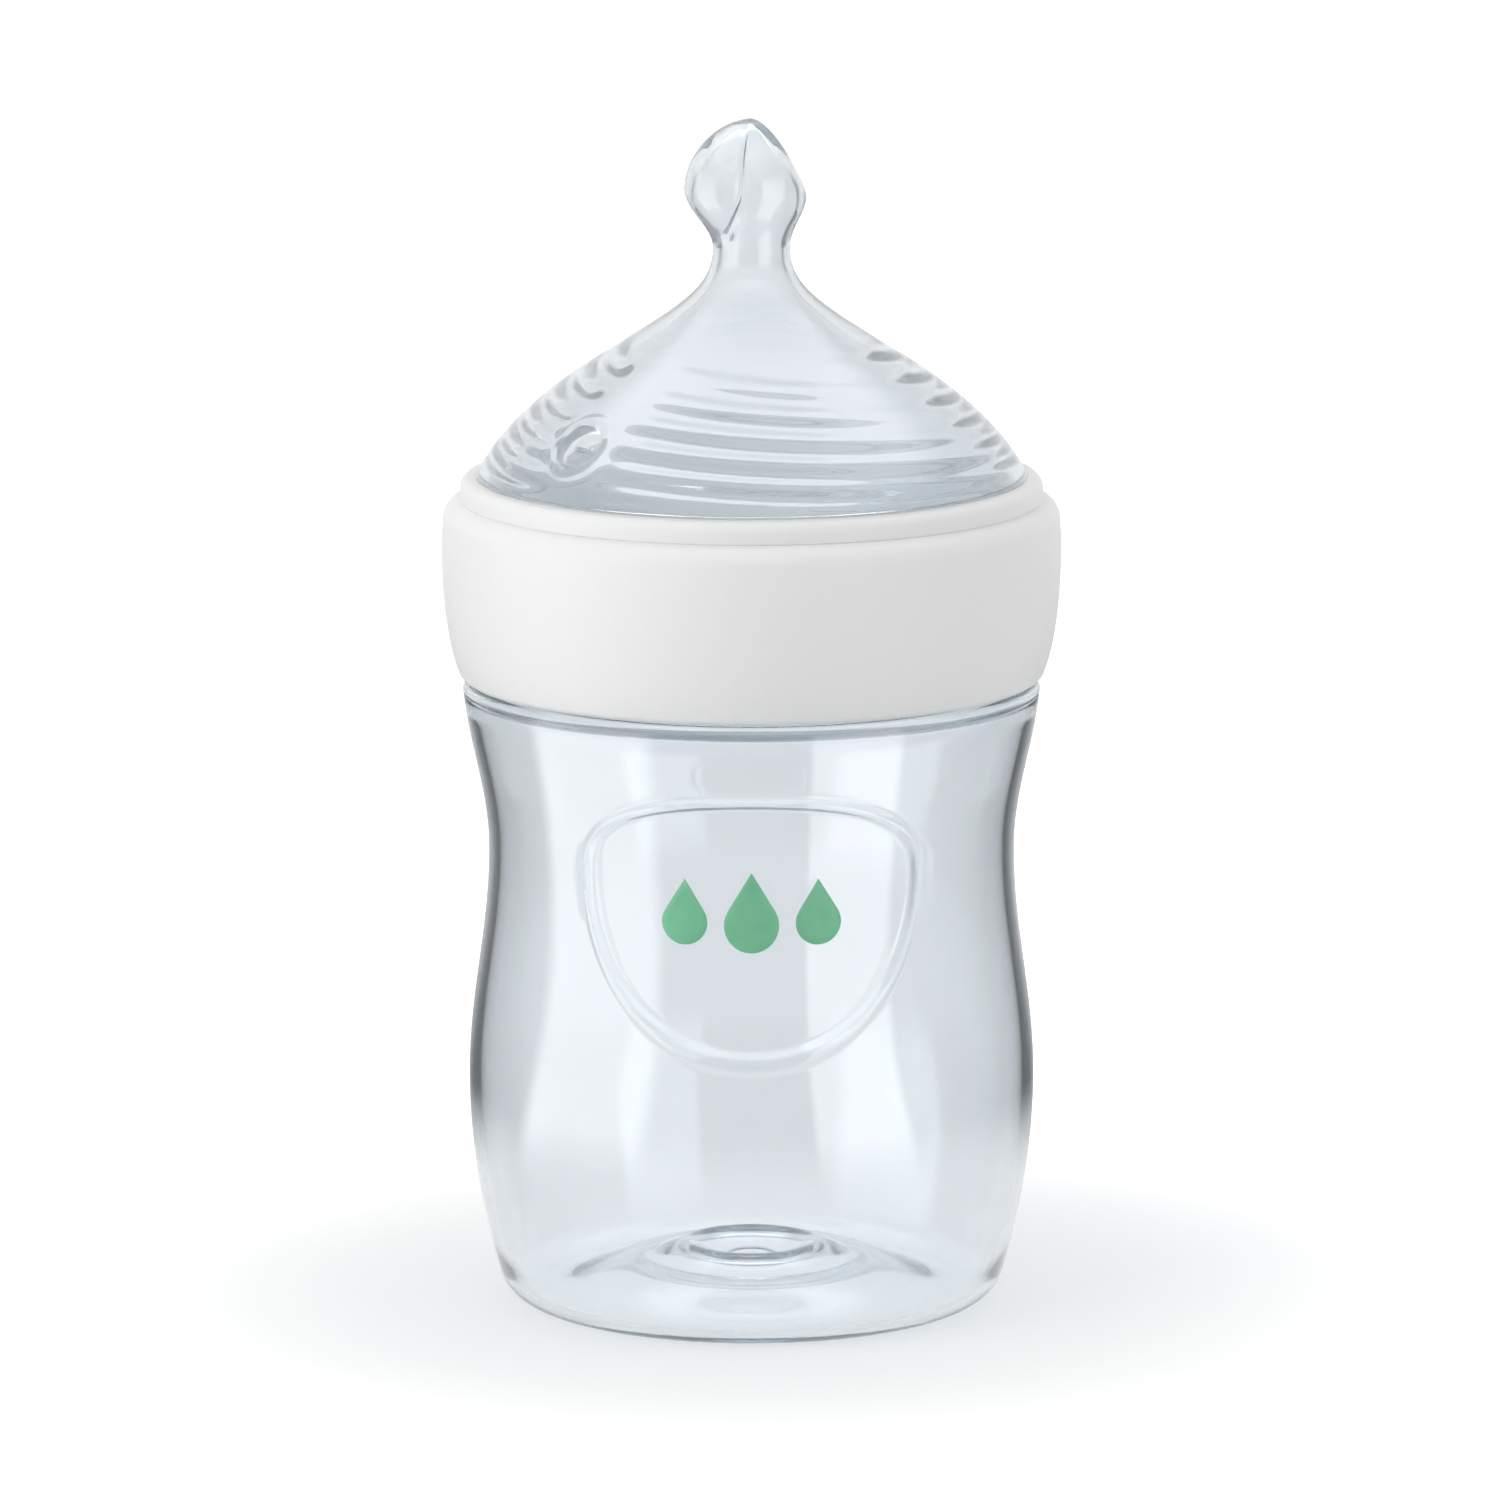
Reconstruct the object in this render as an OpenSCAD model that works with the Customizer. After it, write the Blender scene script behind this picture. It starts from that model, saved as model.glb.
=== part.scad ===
// Wide-neck feeding bottle: a clear waisted bottle, a screw ring and a soft
// nipple that the ring clamps on the rim. Lengths are in millimetres.
// The origin is the centre of the foot, +Z is up and the front faces -Y.

/* [Bottle body] */
// How far the foot's circle lies inside the belly
foot_in = 7.2; // [6.5:0.1:9]
// Radius of the rounded heel between the foot and the side
heel_r = 4; // [3:0.5:5]
// How far the belly's widest circle lies inside the shoulder's swell
belly_in = 0.65; // [0:0.05:1.5]
// Height of the belly's widest circle
belly_z = 25; // [22:0.5:28]
// How far the waist that the hand grips lies inside the shoulder's swell
waist_in = 2.9; // [1.5:0.05:3.6]
// Height of the waist
waist_z = 50.5; // [45:0.5:54]
// How far the shoulder's swell reaches out past the neck
shoulder_out = 2.45; // [2:0.05:3.5]
// Height of the shoulder's flat top
shoulder_z = 69.3; // [68:0.1:75]
// Wall thickness of the bottle
wall = 1.25; // [0.8:0.05:1.6]
// Thickness of the base
base_t = 1.4; // [1:0.1:1.8]
// Width of the flat ring that the bottle stands on
foot_w = 1.5; // [1:0.1:3]
// How far the middle of the base is pushed up
push_h = 3.3; // [1.5:0.1:4]
// Width of the slope from the foot up to the pushed-up middle
push_w = 11.5; // [8:0.1:12.5]
// Height of the round bead pressed into the middle of the base
dimple_h = 1.4; // [0.5:0.1:3]
// Radius of that bead's crest
dimple_r = 7; // [6:0.1:9]

/* [Neck and screw thread] */
// Outer radius of the neck, which the body, the ring and the nipple follow
neck_r = 29.4; // [26:0.1:33]
// Wall thickness of the neck
neck_wall = 1.6; // [1.2:0.1:2]
// Height of the rim
rim_z = 88.6; // [86:0.1:94]
// Rise of the screw thread in one turn
pitch = 4; // [3.6:0.1:5]
// Turns of thread on the neck and in the ring
thread_turns = 1.25; // [1:0.05:1.5]
// Height of the thread above the neck
thread_h = 1.2; // [0.8:0.05:1.3]
// Width of the thread at its foot
thread_w = 1.5; // [1.2:0.05:1.6]
// Gap kept between the two threads' touching flanks
thread_gap = 0.3; // [0.2:0.05:0.4]
// Distance from the rim down to the thread's upper end
thread_drop = 5.1; // [4.6:0.1:6]

/* [Shield panel] */
// Half width of the raised shield outline
shield_w = 18.6; // [15:0.1:20]
// Height of the shield's widest level
shield_z = 52.5; // [50:0.1:54]
// Reach of the rounded point below that level
shield_down = 21.6; // [17:0.1:23]
// Reach of the flattened top above that level
shield_up = 9.4; // [7:0.1:10]
// Height of the shield's rim above the body
shield_h = 0.5; // [0.2:0.05:0.7]
// Width of the rim at the sides
shield_rim = 1.5; // [0.8:0.1:2]
// Extra width of the rim at the lower point
shield_lip = 1.2; // [0:0.1:2.5]
// Height of the printed drops' middle
print_z = 48.8; // [44:0.1:52]
// Height of the middle drop
drop_h = 8.8; // [6:0.1:11]
// Distance between neighbouring drops
drop_gap = 7.2; // [6.6:0.1:9]
// Thickness of the print
ink_t = 0.12; // [0.1:0.01:0.2]

/* [Screw ring] */
// Wall thickness of the ring at its widest circle
ring_wall = 3; // [2.6:0.1:4]
// How far the ring's lower edge lies inside its widest circle
ring_taper = 1.7; // [0.5:0.1:2]
// Gap between the shoulder and the ring
ring_gap = 0.4; // [0.2:0.05:1]
// Distance from the rounded top edge down to the ring's widest circle
ring_wide_drop = 2.4; // [1:0.1:5]
// Radius of the rounded top edge
ring_round = 2.2; // [1.5:0.1:2.6]
// How far the raised lip that a hood fits over lies inside the widest circle
lip_in = 2.05; // [1.7:0.05:2.2]
// Height of the lip's straight land
lip_land = 1.2; // [0.8:0.1:1.5]
// Clearance between the neck thread's crest and the ring's bore
ring_clear = 0.4; // [0.2:0.05:0.5]
// How far the ring's top web reaches in past the neck's outside, round the nipple
web_in = 0.3; // [0:0.1:1]
// Thickness of the top web round that opening
web_t = 1.6; // [1.2:0.1:2]

/* [Nipple] */
// Thickness of the sealing flange on the rim
flange_t = 1.6; // [1.2:0.1:2]
// Radial clearance between the flange and the ring's bore
flange_clear = 0.6; // [0.3:0.05:1]
// Clearance between the nipple's groove and the ring's opening
groove_clear = 0.3; // [0.15:0.05:0.4]
// How far the cone's foot laps over the ring's top
cone_lap = 1.15; // [0.8:0.05:1.4]
// Height of the cone from the ring's top to the neck of the teat
cone_h = 25; // [22:0.5:28]
// Wall thickness of the cone
cone_t = 1.5; // [1.2:0.1:1.8]
// Depth of the ridges inside the cone
ridge_h = 0.3; // [0.2:0.1:1]
// Spacing of the ridges in height
ridge_pitch = 2.3; // [2:0.05:2.4]
// Number of ridges
ridges = 6; // [3:1:6]
// Radius of the teat's neck
teat_neck_r = 4.25; // [3.8:0.05:5]
// Height of the teat above its neck
teat_h = 14.3; // [12:0.1:17]
// Reach of the bulb on its rounded side
bulb_out = 7.75; // [6.5:0.05:8.5]
// Reach of the bulb on its sloping flat side
bulb_back = 5.5; // [4.8:0.05:6]
// Half width of the bulb across
bulb_half_w = 6; // [5.5:0.05:7]
// Wall thickness of the teat
teat_t = 0.95; // [0.8:0.05:1.3]
// Angle of the bulb's rounded side, left of the front
bulb_turn = 60; // [0:5:90]
// Radius of the flow holes
hole_r = 0.3; // [0.2:0.05:0.45]
// Angle of the air vent, left of the front
vent_turn = 46; // [0:1:90]
// Radius of the vent's recess
vent_r = 3; // [2.5:0.1:3.4]
// Depth of the vent's recess
vent_depth = 0.7; // [0.4:0.05:0.9]
// Length of the vent's slit
slit_len = 2.6; // [1.5:0.1:3]

/* [Hidden] */
$fn = 96;

clear_blue = [0.86, 0.9, 0.93, 0.5];
ink_green = [0.46, 0.75, 0.58];
ring_white = [0.93, 0.93, 0.92];
silicone_clear = [0.88, 0.9, 0.93, 0.6];

// How deep the threads and the shield are rooted in the wall that carries them.
embed = 0.4;
// Overlap between joined or cut shapes whose skins would otherwise coincide.
bite = 0.05;
seam = 0.01;

// Where the parts meet.
shoulder_r = neck_r + shoulder_out;
belly_r = shoulder_r - belly_in;
waist_r = shoulder_r - waist_in;
foot_r = belly_r - foot_in;
foot_in_r = foot_r - foot_w;
mouth_r = neck_r - neck_wall;
bore_r = neck_r + thread_h + ring_clear;
ring_r = bore_r + ring_wall;
ring_foot_r = ring_r - ring_taper;
lip_r = ring_r - lip_in;
ring_open_r = neck_r - web_in;
cone_r = ring_open_r + cone_lap;
ring_z = shoulder_z + ring_gap;
neck_thread_z = rim_z - thread_drop - pitch * thread_turns;
web_z = rim_z + flange_t;
top_z = web_z + web_t;
cone_z = top_z + 0.1;
teat_z = cone_z + cone_h;

// ---- curves and small helpers ----

function blend(t) = (1 - cos(180 * min(max(t, 0), 1))) / 2;
function mix(a, b, t) = a + (b - a) * t;
function bezier3(a, b, c, t) =
    a * pow(1 - t, 2) + b * 2 * t * (1 - t) + c * t * t;
function bezier4(a, b, c, d, t) =
    a * pow(1 - t, 3) + b * 3 * t * pow(1 - t, 2) + c * 3 * t * t * (1 - t) + d * pow(t, 3);
function arc(centre, r, from, to, steps) =
    [for (i = [0:steps]) let (a = mix(from, to, i / steps)) centre + r * [cos(a), sin(a)]];
function reversed(list) = [for (i = [len(list) - 1:-1:0]) list[i]];

// Faces of a closed tube of rings with m points each, with both ends capped.
function tube_faces(rings, m) = concat(
    [[for (j = [0:m - 1]) j]],
    [for (i = [0:rings - 2], j = [0:m - 1])
        let (a = i * m + j, b = i * m + (j + 1) % m) [a, a + m, b + m]],
    [for (i = [0:rings - 2], j = [0:m - 1])
        let (a = i * m + j, b = i * m + (j + 1) % m) [a, b + m, b]],
    [[for (j = [m - 1:-1:0]) (rings - 1) * m + j]]
);

// ---- bottle ----

// Radius of the body between the belly and the shoulder. The swell above the
// waist would reach its peak a little above the shoulder.
peak_z = shoulder_z + 1.7;
function body_r(z) = z < waist_z
    ? mix(belly_r, waist_r, blend((z - belly_z) / (waist_z - belly_z)))
    : mix(waist_r, shoulder_r, blend((z - waist_z) / (peak_z - waist_z)));

heel_lean = 16;
heel_end = [foot_r, heel_r] + heel_r * [cos(heel_lean), -sin(heel_lean)];
heel_aim = [belly_r, heel_end[1] + (belly_r - heel_end[0]) / tan(heel_lean)];
body_steps = 16;
shoulder_round = 1;
shoulder_edge = body_r(shoulder_z - shoulder_round);
neck_fillet = 0.5;
rim_round = 0.4;
function low_side(t) = bezier3(heel_end, heel_aim, [belly_r, belly_z], t);
function high_side(from, to, steps, inset) =
    [for (i = [1:steps]) let (z = mix(from, to, i / steps)) [body_r(z) - inset, z]];

// Height of the underside at radius r: pushed up in the middle, with the bead's ring.
dimple_w = 2.1;
function under_at(r) = push_h * blend((foot_in_r - r) / push_w)
    + dimple_h * exp(-pow((r - dimple_r) / dimple_w, 2));
floor_rs = concat([0], [for (i = [-4:5]) dimple_r + i * dimple_w * 0.4],
    [for (i = [1:6]) mix(dimple_r + 2 * dimple_w, foot_in_r, i / 6)]);

// The inside leaves the wall's curve below the shoulder and bends in to the neck.
inner_shoulder_z = shoulder_z - 2.4;
inner_neck_z = shoulder_z + 0.7;
shoulder_bend = 3.1;
shoulder_in_r = body_r(inner_shoulder_z) - wall;
inner_heel_share = 0.1;

function bottle_outside() = concat(
    [for (r = floor_rs) [r, under_at(r)]],
    arc([foot_r, heel_r], heel_r, -90, -heel_lean, 6),
    [for (i = [1:8]) low_side(i / 8)],
    high_side(belly_z, shoulder_z - shoulder_round, body_steps, 0),
    arc([shoulder_edge - shoulder_round, shoulder_z - shoulder_round], shoulder_round, 20, 90, 4),
    arc([neck_r + neck_fillet, shoulder_z + neck_fillet], neck_fillet, 270, 180, 3),
    arc([neck_r - rim_round, rim_z - rim_round], rim_round, 0, 90, 3)
);
function bottle_inside() = concat(
    [for (r = floor_rs) [r, under_at(r) + base_t]],
    arc([foot_r, heel_r], heel_r - base_t, -90, -heel_lean, 5),
    [for (i = [0:7]) low_side(mix(inner_heel_share, 1, i / 7)) - [wall, 0]],
    high_side(belly_z, inner_shoulder_z, body_steps - 2, wall),
    [for (i = [1:8]) bezier4([shoulder_in_r, inner_shoulder_z],
        [shoulder_in_r, inner_shoulder_z + shoulder_bend],
        [mouth_r, inner_neck_z - shoulder_bend], [mouth_r, inner_neck_z], i / 8)],
    [[mouth_r, rim_z - rim_round], [mouth_r + rim_round, rim_z]]
);

// One screw thread: a trapezoid swept along a right-hand helix. It grows out of
// a wall at root_r towards crest_r, and sinks back into the wall at both ends.
thread_facets = 36;
thread_taper = 30;
flank_ratio = 0.35;
module thread(root_r, crest_r, start_z) {
    outward = crest_r > root_r ? 1 : -1;
    steps = round(thread_facets * thread_turns);
    span = 360 * thread_turns;
    foot_half = thread_w / 2 + flank_ratio * embed;
    points = [for (i = [0:steps])
        let (
            a = span * i / steps,
            grow = blend(min(a, span - a) / thread_taper),
            in_r = root_r - outward * embed,
            out_r = mix(root_r - outward * embed / 2, crest_r, grow),
            crest_half = thread_w / 2 - flank_ratio * abs(out_r - root_r),
            z = start_z + pitch * a / 360,
            section = [[in_r, z - foot_half], [out_r, z - crest_half],
                [out_r, z + crest_half], [in_r, z + foot_half]]
        )
        for (p = outward > 0 ? reversed(section) : section) [p[0] * cos(a), p[0] * sin(a), p[1]]
    ];
    polyhedron(points, tube_faces(steps + 1, 4), convexity = 6);
}

// Outline of the shield, drawn flat as seen from the front. inset moves the
// whole outline in, and lip moves only its lower point in further.
boxy_up = 0.77;
boxy_down = 0.93;
function shield_outline(inset, lip) =
    let (
        w = shield_w - inset,
        up = shield_up - inset,
        down = shield_down - inset - lip
    )
    [for (a = [0:10:350])
        let (boxy = a < 180 ? boxy_up : boxy_down)
        [w * sign(cos(a)) * pow(abs(cos(a)), boxy),
            (a < 180 ? up : down) * sign(sin(a)) * pow(abs(sin(a)), boxy)]];

// Cuts a flat drawing out of a layer that hugs the body's front, from below to
// above its skin.
module on_front(below, above) {
    zs = [for (i = [0:body_steps]) mix(belly_z, shoulder_z - shoulder_round, i / body_steps)];
    intersection() {
        rotate_extrude() polygon(concat([for (z = zs) [body_r(z) + above, z]],
            [for (z = reversed(zs)) [body_r(z) - below, z]]));
        rotate([90, 0, 0]) linear_extrude(belly_r + 5) children();
    }
}

module bottle() color(clear_blue) {
    difference() {
        union() {
            rotate_extrude() polygon(concat(bottle_outside(), [[0, rim_z]]));
            thread(neck_r, neck_r + thread_h, neck_thread_z);
            on_front(embed, shield_h)
                translate([0, shield_z]) difference() {
                    polygon(shield_outline(0, 0));
                    polygon(shield_outline(shield_rim, shield_lip));
                }
        }
        rotate_extrude() polygon(concat(bottle_inside(), [[mouth_r, rim_z + 1], [0, rim_z + 1]]));
    }
}

// A plain drop, point up, centred on its own middle.
drop_ratio = 0.34;
side_ratio = 0.82;
module drop(h) {
    r = h * drop_ratio;
    lean = asin(r / (h - r));
    polygon(concat([[0, h / 2]], arc([0, r - h / 2], r, 180 - lean, 360 + lean, 20)));
}

module front_print() color(ink_green) {
    on_front(0, ink_t)
        for (i = [-1:1])
            translate([i * drop_gap, print_z]) drop(drop_h * (i == 0 ? 1 : side_ratio));
}

// ---- screw ring ----

lip_round = 1.1;
groove_d = 0.12;
land_z = top_z - lip_round - lip_land;
round_z = land_z - groove_d - ring_round;
ring_wide_z = round_z - ring_wide_drop;
ring_edge_r = ring_r - 0.15;
foot_round = 1.1;
flare_from = [ring_foot_r + 0.1, ring_z + 1.2];
flare_aim_z = ring_z + 6;
// The ring's thread hangs just below the neck's thread.
ring_thread_z = neck_thread_z - thread_w + flank_ratio * (bore_r - neck_r) - thread_gap;

module screw_ring() color(ring_white) {
    difference() {
        rotate_extrude() polygon(concat(
            [[0, ring_z]],
            arc([ring_foot_r - foot_round, ring_z + foot_round], foot_round, -90, -12, 4),
            [for (i = [1:8]) bezier3(flare_from, [ring_r, flare_aim_z], [ring_r, ring_wide_z],
                i / 8)],
            arc([ring_edge_r - ring_round, round_z], ring_round, 0, 72, 6),
            [[lip_r - groove_d, land_z - groove_d], [lip_r, land_z]],
            arc([lip_r - lip_round, top_z - lip_round], lip_round, 0, 90, 6),
            [[0, top_z]]
        ));
        translate([0, 0, ring_z - 1]) cylinder(h = web_z - ring_z + 1, r = bore_r);
        cylinder(h = top_z + 1, r = ring_open_r);
    }
    thread(bore_r, neck_r + ring_clear, ring_thread_z);
}

// ---- nipple ----

groove_r = ring_open_r - groove_clear;
flange_r = bore_r - flange_clear;

// The cone's outside runs in two curves from its foot to the teat's neck.
cone_mid = [cone_r / 2, cone_z + cone_h * 0.56];
foot_pull = cone_h * 0.33;
below_pull = cone_h * 0.12;
above_pull = cone_h * 0.37;
neck_pull = cone_h * 0.16;
function turned(r, angle) = r * [-cos(angle), sin(angle)];
foot_lean = 63;
mid_lean = 32.5;
function cone_low(t) = bezier4([cone_r, cone_z], [cone_r, cone_z] + turned(foot_pull, foot_lean),
    cone_mid - turned(below_pull, mid_lean), cone_mid, t);
function cone_high(t) = bezier4(cone_mid, cone_mid + turned(above_pull, mid_lean),
    [teat_neck_r, teat_z - neck_pull], [teat_neck_r, teat_z], t);
function cone_at(t) = t < 1 ? cone_low(t) : cone_high(t - 1);

// The inside lies a wall's thickness in from the outside, square to it, with
// rounded ridges between the foot and the top of the cone.
ridge_z = cone_z + 1.5;
function ridge_at(z) = z < ridge_z || z > ridge_z + ridges * ridge_pitch
    ? 0 : ridge_h * blend(1 - abs(2 * (((z - ridge_z) / ridge_pitch) % 1) - 1));
thinning_ratio = 1.2;
function cone_inside(t) =
    let (
        step = 0.01,
        d = cone_at(min(t + step, 2)) - cone_at(max(t - step, 0)),
        p = cone_at(t),
        thick = mix(cone_t, teat_t, blend((t - 1) * thinning_ratio)) + ridge_at(p[1])
    )
    p + [-d[1], d[0]] / norm(d) * thick;

flange_in_r = mouth_r - 0.6;
edge_cut = 0.3;
foot_cut = 0.4;
// The inside is drawn finely over the ridges and more coarsely above them.
fine_share = 1.1;
low_steps = 48;
high_steps = 14;
module nipple_outer() {
    rotate_extrude() polygon(concat(
        [[0, rim_z], [flange_r - edge_cut, rim_z], [flange_r, rim_z + edge_cut],
            [flange_r, web_z - edge_cut], [flange_r - edge_cut, web_z], [groove_r, web_z],
            [groove_r, top_z], [cone_r - foot_cut, top_z]],
        [for (i = [0:12]) cone_low(i / 12)],
        [for (i = [1:10]) cone_high(i / 10)],
        [[0, teat_z]]
    ));
}

module nipple_inner() {
    inside = concat([for (i = [0:low_steps]) cone_inside(fine_share * i / low_steps)],
        [for (i = [1:high_steps]) cone_inside(mix(fine_share, 2, i / high_steps))]);
    rotate_extrude() polygon(concat(
        [[0, rim_z - 1], [flange_in_r, rim_z - 1], [flange_in_r, web_z]],
        [for (p = inside) if (p[1] > web_z + foot_cut && p[0] < flange_in_r) p],
        [[teat_neck_r - teat_t, teat_z + bite], [0, teat_z + bite]]
    ));
}

// The teat's cross-section at height z above its neck: its reach on the
// rounded side and on the flat side, and its half width. The flat side slopes
// straight from its corner to the tip.
bulb_z = 6.8;
corner_z = 6.2;
tip_round = 0.9;
tip_cut = 0.03;
out_power = 1.85;
half_power = 1.9;
flat_boxy = 0.72;
function under(z, full, reach) = mix(teat_neck_r, reach, blend(z / full));
function over(z, full, reach, power) =
    reach * pow(max(1 - pow((z - full) / (teat_h - full), power), 0), 1 / power);
function slope(t) = mix(bulb_back - tip_round, 0, t) + tip_round * sqrt(1 - pow(t, 6));
function bulb_reach(z) = [
    z < bulb_z ? under(z, bulb_z, bulb_out) : over(z, bulb_z, bulb_out, out_power),
    z < corner_z ? under(z, corner_z, bulb_back) : slope((z - corner_z) / (teat_h - corner_z)),
    z < bulb_z ? under(z, bulb_z, bulb_half_w) : over(z, bulb_z, bulb_half_w, half_power)
];

// The teat as a closed solid whose skin lies inset inside the outer one. Its
// rings crowd together towards the round top, and it starts inside the cone.
bulb_sides = 40;
tuck = 0.6;
module bulb(inset, steps) {
    heights = concat([-tuck, 0], [for (i = [1:steps]) bulb_z * i / steps],
        [for (i = [1:steps]) mix(bulb_z, teat_h - tip_cut, sin(90 * i / steps))]);
    squeeze = (teat_h - 1.2 * inset) / teat_h;
    points = [for (h = heights, j = [0:bulb_sides - 1])
        let (
            a = 360 * j / bulb_sides,
            reach = bulb_reach(max(h, 0)),
            side = cos(a) > 0 ? reach[0] : reach[1],
            boxy = cos(a) > 0 ? 1 : mix(1, flat_boxy, blend(h / corner_z)),
            u = sign(cos(a)) * pow(abs(cos(a)), boxy) * max(side - inset - seam, seam),
            w = sign(sin(a)) * pow(abs(sin(a)), boxy) * max(reach[2] - inset - seam, seam)
        )
        [u, w, h > 0 ? h * squeeze : h]];
    translate([0, 0, teat_z]) rotate(-90 - bulb_turn)
        polyhedron(points, tube_faces(len(heights), bulb_sides), convexity = 4);
}

// The vent: a round recess square to the cone, with a slit through its floor.
vent_share = 0.3;
slit_w = 0.3;
vent_at = cone_low(vent_share);
vent_dir = cone_low(vent_share + 0.01) - cone_low(vent_share - 0.01);
vent_lean = atan2(-vent_dir[0], vent_dir[1]);
module vent() {
    rotate(-90 - vent_turn) translate([vent_at[0], 0, vent_at[1]]) rotate([0, 90 - vent_lean, 0]) {
        translate([0, 0, -vent_depth]) cylinder(h = 4, r = vent_r);
        cube([slit_w, slit_len, 8], center = true);
    }
}

// Three flow holes side by side through the top of the rounded side.
hole_lean = 18;
hole_splay = 14;
hole_out = 1.6;
hole_step = 1.2;
hole_reach = 4.5;
module flow_holes() {
    translate([0, 0, teat_z + teat_h - hole_reach]) rotate(-90 - bulb_turn)
        for (i = [-1:1])
            translate([hole_out, hole_step * i, 0]) rotate([-hole_splay * i, hole_lean, 0])
                cylinder(h = hole_reach + 1.5, r = hole_r, $fn = 16);
}

module nipple() color(silicone_clear) {
    difference() {
        union() {
            nipple_outer();
            bulb(0, 10);
        }
        nipple_inner();
        bulb(teat_t, 9);
        vent();
        flow_holes();
    }
}

bottle();
front_print();
screw_ring();
nipple();
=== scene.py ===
"""Looks for a wide-neck feeding bottle: a clear waisted body with a raised shield, a matte
white screw ring and a clear soft nipple. The shapes are worked out in millimetres from the CAD
part's dimensions, with softer edges and finer surface forms than its solids, and turned into
metres when a mesh is made."""

import bpy
import numpy as np
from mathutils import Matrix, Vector


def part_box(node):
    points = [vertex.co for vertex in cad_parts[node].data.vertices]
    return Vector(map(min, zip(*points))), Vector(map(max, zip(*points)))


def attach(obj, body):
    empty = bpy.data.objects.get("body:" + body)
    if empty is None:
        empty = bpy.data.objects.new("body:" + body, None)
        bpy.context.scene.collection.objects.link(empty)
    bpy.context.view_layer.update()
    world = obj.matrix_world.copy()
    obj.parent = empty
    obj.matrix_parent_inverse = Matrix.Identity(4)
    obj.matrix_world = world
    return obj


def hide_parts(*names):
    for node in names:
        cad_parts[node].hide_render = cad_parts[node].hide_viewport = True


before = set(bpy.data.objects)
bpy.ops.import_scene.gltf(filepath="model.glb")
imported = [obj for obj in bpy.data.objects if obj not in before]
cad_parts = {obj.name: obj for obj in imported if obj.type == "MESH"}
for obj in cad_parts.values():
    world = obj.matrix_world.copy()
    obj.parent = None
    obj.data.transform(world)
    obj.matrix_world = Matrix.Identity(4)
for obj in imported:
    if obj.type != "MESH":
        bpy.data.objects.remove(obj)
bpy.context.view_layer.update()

MM = 0.001


def box_mm(node):
    low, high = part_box(node)
    return np.array(low) / MM, np.array(high) / MM


# ---- dimensions, in millimetres ----

ring_low, ring_high = box_mm("screw_ring")

RIM_Z = box_mm("bottle")[1][2]
RING_R, RING_Z, TOP_Z = ring_high[0], ring_low[2], ring_high[2]
TIP_Z = box_mm("nipple")[1][2]

FOOT_R, HEEL_R, HEEL_LEAN = 24.0, 4.0, 16
BELLY_R, BELLY_Z = 31.2, 25.0
WAIST_R, WAIST_Z = 28.95, 50.5
SHOULDER_R = 31.85
RING_GAP, PEAK_OVER = 0.4, 1.7
SHOULDER_Z = RING_Z - RING_GAP
PEAK_Z = SHOULDER_Z + PEAK_OVER
SHOULDER_ROUND = 1.0
WALL, BASE_T = 1.25, 1.4
FOOT_IN_R, PUSH_H, PUSH_W = 22.5, 3.3, 11.5
DIMPLE_H, DIMPLE_R, DIMPLE_W = 1.4, 7.0, 2.1
GATE_H, GATE_R, GATE_W = 0.18, 2.1, 0.5
NECK_R, MOUTH_R = 29.4, 27.8
NECK_FILLET, RIM_ROUND = 0.5, 0.4
INNER_HEEL_SHARE = 0.1
INNER_DROP, INNER_RISE, SHOULDER_BEND = 2.4, 0.7, 3.1
INNER_SHOULDER_Z, INNER_NECK_Z = SHOULDER_Z - INNER_DROP, SHOULDER_Z + INNER_RISE

PITCH, THREAD_TURNS, THREAD_H, THREAD_W = 4.0, 1.25, 1.2, 1.5
THREAD_SLOPE, THREAD_TAPER, THREAD_GAP, RING_CLEAR = 0.35, 30, 0.3, 0.4
THREAD_DROP = 5.1
BORE_R = NECK_R + THREAD_H + RING_CLEAR
NECK_THREAD_Z = RIM_Z - THREAD_DROP - PITCH * THREAD_TURNS
RING_THREAD_Z = NECK_THREAD_Z - THREAD_W + THREAD_SLOPE * (BORE_R - NECK_R) - THREAD_GAP

SHIELD_W, SHIELD_Z, SHIELD_DOWN, SHIELD_UP = 18.6, 52.5, 21.6, 9.4
SHIELD_H, SHIELD_RIM, SHIELD_LIP, SHIELD_EDGE = 0.6, 1.8, 1.2, 1.0
SHIELD_BOXY_UP, SHIELD_BOXY_DOWN = 0.77, 0.93
PRINT_Z, DROP_H, DROP_GAP, SIDE_DROP, DROP_ROUND = 48.8, 8.8, 7.2, 0.82, 0.34
INK_T, INK_ROOT = 0.12, 0.05

RING_FOOT_R, FOOT_ROUND = 32.3, 1.1
RING_ROUND, RING_WIDE_DROP = 2.2, 2.4
LIP_R, LIP_ROUND, LIP_LAND, GROOVE_D = 31.95, 1.1, 1.2, 0.12
FLARE_OUT, FLARE_LOW, FLARE_HIGH, ROUND_INSET = 0.1, 1.2, 6, 0.15
RING_OPEN_R = 29.1
FLANGE_T = 1.6
WEB_Z = RIM_Z + FLANGE_T

GROOVE_CLEAR, FLANGE_CLEAR, FLANGE_OVER, FLANGE_ROUND = 0.3, 0.6, 0.6, 0.3
GROOVE_R = RING_OPEN_R - GROOVE_CLEAR
FLANGE_R, FLANGE_IN_R = BORE_R - FLANGE_CLEAR, MOUTH_R - FLANGE_OVER
CONE_LIFT, CONE_EDGE = 0.1, 0.4
CONE_R, CONE_Z, CONE_H, CONE_T = 30.25, TOP_Z + CONE_LIFT, 25.0, 1.5
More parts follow.
